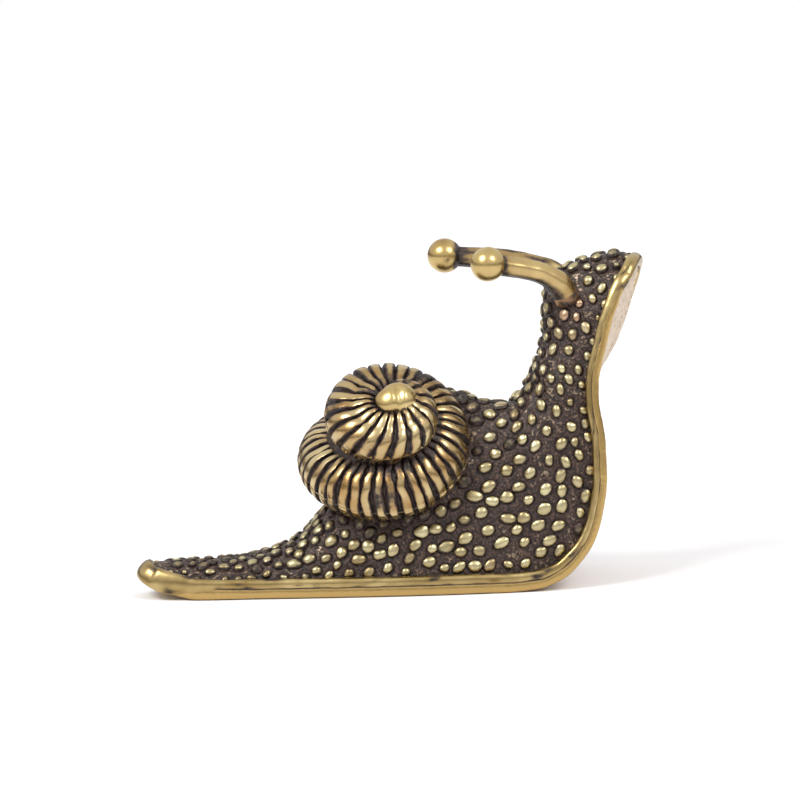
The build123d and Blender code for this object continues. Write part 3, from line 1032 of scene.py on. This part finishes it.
# %% Routes of the stalks
right_route = [
    (0.846, -0.23, 0.878), (0.831, -0.30, 0.916), (0.811, -0.37, 0.946), (0.784, -0.43, 0.968),
    (0.752, -0.50, 0.982), (0.721, -0.56, 0.992), (0.685, -0.63, 1.003),
]
left_route = [
    (0.859, 0.37, 0.893), (0.834, 0.41, 0.930), (0.806, 0.44, 0.955), (0.767, 0.47, 0.973),
    (0.728, 0.51, 0.984), (0.660, 0.56, 0.993), (0.618, 0.595, 0.999),
]
stalk_radius = 0.78
stalk_share = 0.93
stalk_flat = 0.035
root_swell = 0.22
ball_radius = 1.3
ball_dent = 0.022
collar_share = 0.09


def route_points(shares):
    """Places of a route in mm, from inside the head to the ball's middle."""
    points = []
    for along, across, high in shares:
        x = along * snail_length - tail_reach
        points.append(Vector((x, across * foot_half_width, high * head_height)))
    return points


def on_route(points, share):
    """A point of a smooth line through the points."""
    place = share * (len(points) - 1)
    index = min(int(place), len(points) - 2)
    part = place - index
    p1, p2 = points[index], points[index + 1]
    p0 = points[index - 1] if index > 0 else p1 * 2 - p2
    p3 = points[index + 2] if index < len(points) - 2 else p2 * 2 - p1
    cube = (p1 - p2) * 3 + p3 - p0
    square = p0 * 2 - p1 * 5 + p2 * 4 - p3
    return p1 + ((p2 - p0) * part + square * part ** 2 + cube * part ** 3) / 2


# %% Stalks


def make_stalk(name, shares, flats, shine_level):
    """A filed rod along its route, wider where it enters the head. wear is how far it shines."""
    points = route_points(shares)

    def stalk_point(u, v):
        share = stalk_share * u
        centre = on_route(points, share)
        aim = (on_route(points, share + 0.02) - on_route(points, max(share - 0.02, 0))).normalized()
        side = aim.cross(Vector((0, 0, 1))).normalized()
        top = side.cross(aim)
        turn = 2 * pi * v
        flat = stalk_flat * cos(6 * turn + flats + 2 * share)
        root = ramp(share, 0.42, 0.20)
        radius = stalk_radius * (1 + flat + root_swell * root - 0.05 * ramp(share, 0.5, 0.9))
        radius += stalk_flat * noise(centre * 1.3 + side * cos(turn))
        place = centre + side * (radius * cos(turn)) + top * (radius * sin(turn))
        neck = ramp(share, 0.90, 0.80)
        # Painted shade: the underside of each stalk is made up to three quarters duller than its
        # top.
        under = ramp(sin(turn), -0.9, -0.2)
        streak = noise(Vector((share * 5, 2.2 * cos(turn), 2.2 * sin(turn) + flats)))
        return place, (0.25 + 0.75 * under) * neck * (shine_level + (1.2 - shine_level) * streak)

    made = bend_grid(name, 70, 32, stalk_point)
    report(made)
    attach(made, "root")
    return made


right_stalk = make_stalk("right_stalk", right_route, flats=0.4, shine_level=0.95)
left_stalk = make_stalk("left_stalk", left_route, flats=1.1, shine_level=0.50)
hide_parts("right_eye_stalk")
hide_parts("left_eye_stalk")

# %% [markdown]
# The balls were turned and then filed by hand, so they are nearly round, with a slight flat
# here and there. A sphere of the usual kind is enough, pushed in and out a little by noise.

# %% Balls


def make_ball(name, shares, seed, joint):
    """A nearly round ball at the end of a route, dark round the joint with its stalk."""
    points = route_points(shares)
    centre = points[-1]
    to_stalk = (points[-2] - centre).normalized()
    piece = bmesh.new()
    bmesh.ops.create_uvsphere(piece, u_segments=48, v_segments=28, radius=ball_radius)
    buffed_and_shade = piece.verts.layers.float.new("buffed_and_shade")
    for vertex in piece.verts:
        facing = vertex.co.normalized().dot(to_stalk)
        patch = noise(vertex.co * 1.1 + Vector((0, seed, 0)))
        dent = 1 + ball_dent * noise(vertex.co * 0.8 + Vector((seed, 0, 0)))
        vertex.co = (centre + vertex.co * dent) * MM
        clear = ramp(facing + 0.3 * patch, joint, joint - 0.35)
        vertex[buffed_and_shade] = clear * min(joint + 0.4 * patch, 1)
    made = add_object(name, piece)
    report(made)
    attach(made, "root")
    return made


right_ball = make_ball("right_ball", right_route, seed=3, joint=1.05)
left_ball = make_ball("left_ball", left_route, seed=8, joint=0.75)
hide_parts("right_eye_ball")
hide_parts("left_eye_ball")

# %% [markdown]
# Each stalk was brazed into the head. What shows is a small collar of copper-coloured metal
# round its root: a short profile spun once round the stalk's own direction.

# %% Braze collars
collar_profile = [(0.60, -0.7), (1.08, -0.7), (1.03, -0.4), (0.98, -0.2), (0.94, 0.0), (0.60, 0.0)]


def make_collar(name, shares):
    """A collar spun round the root of a stalk."""
    points = route_points(shares)
    root = on_route(points, collar_share)
    ahead = on_route(points, collar_share + 0.04)
    aim = (ahead - on_route(points, collar_share - 0.04)).normalized()
    piece = spin_profile(collar_profile, 32)
    turn = aim.to_track_quat("Z", "Y")
    buffed_and_shade = piece.verts.layers.float.new("buffed_and_shade")
    for vertex in piece.verts:
        place = root + turn @ vertex.co
        place += (place - root).normalized() * (0.10 * noise(place * 1.7))
        vertex.co = place * MM
        vertex[buffed_and_shade] = 0.45 + 0.6 * noise(place * 1.3)
    made = add_object(name, piece)
    report(made)
    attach(made, "root")
    return made


right_collar = make_collar("right_collar", right_route)
left_collar = make_collar("left_collar", left_route)
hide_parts("right_braze_fillet")
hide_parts("left_braze_fillet")

# %% [markdown]
# Now the finishes, each in two states. Where the felt wheel has been, the brass is bright
# metal, with a roughness near 0.3, which is satin and not a mirror. Elsewhere the patina is
# left: a purplish brown oxide with a fine grain, which reflects little. Each material mixes
# the two by the attribute, and noise breaks the border up. Where the attribute holds painted
# shade, on the back of the shell and under the stalks, the dark oxide tones paint that shade.

# %% Buffed brass over patina
patch_size = 2.5
patina_metallic = 0.20
patina_rough = 0.45
grain_height = 0.10


def patina_brass(
    name, bright, warm, dark, polish, grain, border=(0.25, 0.65), tint=None, flecks=0.5,
):
    """Bright and warm are the metal's two tones, dark is the patina's two, grain is in mm. The
    dark tones also paint the shade that the attribute holds on some pieces.

    Polish is the bright metal's roughness. The wear at which patina gives way to metal goes
    from border[0] to border[1], and flecks says how far the grain shifts it.
    """
    material, tree = new_material(name)
    place = add_node(tree, "TexCoord").outputs["Object"]
    shine_level = add_node(tree, "Attribute", {"attribute_name": "buffed_and_shade"}).outputs["Fac"]
    fine = add_node(tree, "TexNoise", Vector=place, Scale=1 / (grain * MM), Detail=3.0)
    broad = add_node(tree, "TexNoise", Vector=place, Scale=1 / (patch_size * MM), Detail=2.0)
    rough_edge = add_node(tree, "Math", {"operation": "MULTIPLY_ADD"}, i0=fine, i1=flecks, i2=shine_level)
    rough_edge = add_node(tree, "Math", {"operation": "SUBTRACT"}, i0=rough_edge, i1=flecks / 2)
    shown = add_node(tree, "MapRange", {"interpolation_type": "SMOOTHSTEP"},
                     i0=rough_edge, i1=border[0], i2=border[1])
    tone = add_node(tree, "Math", {"operation": "MULTIPLY_ADD"}, i0=shine_level, i1=-0.4, i2=broad)
    colour = mix_colours(tree, map_range(tree, tone, -0.05, 0.45), bright, warm)
    if tint:
        attribute = add_node(tree, "Attribute", {"attribute_name": "copper"}).outputs["Fac"]
        colour = mix_colours(tree, attribute, colour, tint)
    # The dark tones paint the patina, and also the painted shade that the attribute holds on the
    # back of the shell and under the stalks.
    oxide_and_shade = mix_colours(tree, map_range(tree, fine, 0.40, 0.65), dark[0], dark[1])
    depth = map_range(tree, shown, low=1.0, high=0.12)
    bump = add_node(tree, "Bump", Strength=depth, Distance=grain_height * MM, Height=fine)
    show(tree, add_node(
        tree, "BsdfPrincipled", Base_Color=mix_colours(tree, shown, oxide_and_shade, colour),
        Metallic=map_range(tree, shown, low=patina_metallic),
        Roughness=map_range(tree, shown, low=patina_rough, high=polish), Normal=bump,
    ))
    return material


oxide_and_shade_tones = ("#1C120E", "#40302A")
ground_tones = ("#1C110D", "#4E382E")
bead_brass = patina_brass(
    "buffed_bead_brass", "#D2C89E", "#887650", oxide_and_shade_tones, polish=0.34, grain=0.30, tint="#B8937A",
)
ground_brass = patina_brass(
    "patinated_cast_brass", "#AA9A84", "#7A6654", ground_tones, polish=0.42, grain=0.20,
    border=(0.60, 1.00), flecks=3.0,
)
rib_brass = patina_brass(
    "buffed_rib_brass", "#CDBC90", "#A27E4C", oxide_and_shade_tones, polish=0.27, grain=0.40,
)
rim_brass = patina_brass(
    "buffed_rim_brass", "#BCA674", "#8C7446", oxide_and_shade_tones, polish=0.30, grain=0.60,
)
stalk_brass = patina_brass(
    "filed_rod_brass", "#C4AC78", "#A3875A", oxide_and_shade_tones, polish=0.34, grain=0.50,
    border=(0.15, 0.75),
)
knob_brass = patina_brass(
    "polished_ball_brass", "#CBB57E", "#A98B56", oxide_and_shade_tones, polish=0.28, grain=0.50,
)
braze = patina_brass(
    "copper_braze", "#AA8768", "#947254", oxide_and_shade_tones, polish=0.38, grain=0.40,
)

for made, material in (
    (skin_beads, bead_brass), (body_skin, ground_brass), (ribbed_shell, rib_brass),
    (foot_bead, rim_brass), (right_stalk, stalk_brass), (left_stalk, stalk_brass),
    (apex_knob, knob_brass), (right_ball, knob_brass), (left_ball, knob_brass),
    (right_collar, braze), (left_collar, braze),
):
    made.data.materials.append(material)

# %% [markdown]
# The plate's outer face was never buffed to a shine. On the standing part, under the head,
# it is pale matt metal, cream with a touch of pink, and pitted from the casting. So the plate
# has three states in one attribute: 0 is this matt metal, 1 is buffed and 2 is dark oxide.
# The dark state is real patina at the seam under the rim, and painted shade along the plate's
# rounded lower edge where the foot lies flat.

# %% Sole finish
pit_size = 0.28
pit_height = 0.08
stain_size = 3
material, tree = new_material("cast_sole_brass")
place = add_node(tree, "TexCoord").outputs["Object"]
shine_level = add_node(tree, "Attribute", {"attribute_name": "buffed_and_shade"}).outputs["Fac"]
pits = add_node(tree, "TexNoise", Vector=place, Scale=1 / (pit_size * MM), Detail=4.0)
stain = add_node(tree, "TexNoise", Vector=place, Scale=1 / (stain_size * MM), Detail=3.0)
cream = mix_colours(tree, map_range(tree, stain, 0.35, 0.65), "#C4AE94", "#D2C0AA")
matt = mix_colours(tree, map_range(tree, pits, 0.30, 0.48), "#846F5A", cream)
# Values above 1 give the dark oxide colour: real patina at the seam under the rim, and painted
# shade along the plate's rounded lower edge.
patina_and_shade = map_range(tree, shine_level, 1.2, 1.8)
metal = mix_colours(tree, shine_level, matt, "#B79A62")
metallic = add_node(tree, "Math", {"operation": "SUBTRACT", "use_clamp": True},
                    i0=map_range(tree, shine_level, low=0.35), i1=patina_and_shade)
bump = add_node(tree, "Bump", Strength=0.4, Distance=pit_height * MM, Height=pits)
show(tree, add_node(
    tree, "BsdfPrincipled", Base_Color=mix_colours(tree, patina_and_shade, metal, oxide_and_shade_tones[0]),
    Metallic=metallic, Roughness=map_range(tree, shine_level, low=0.5, high=0.3), Normal=bump,
))
sole.data.materials.append(material)
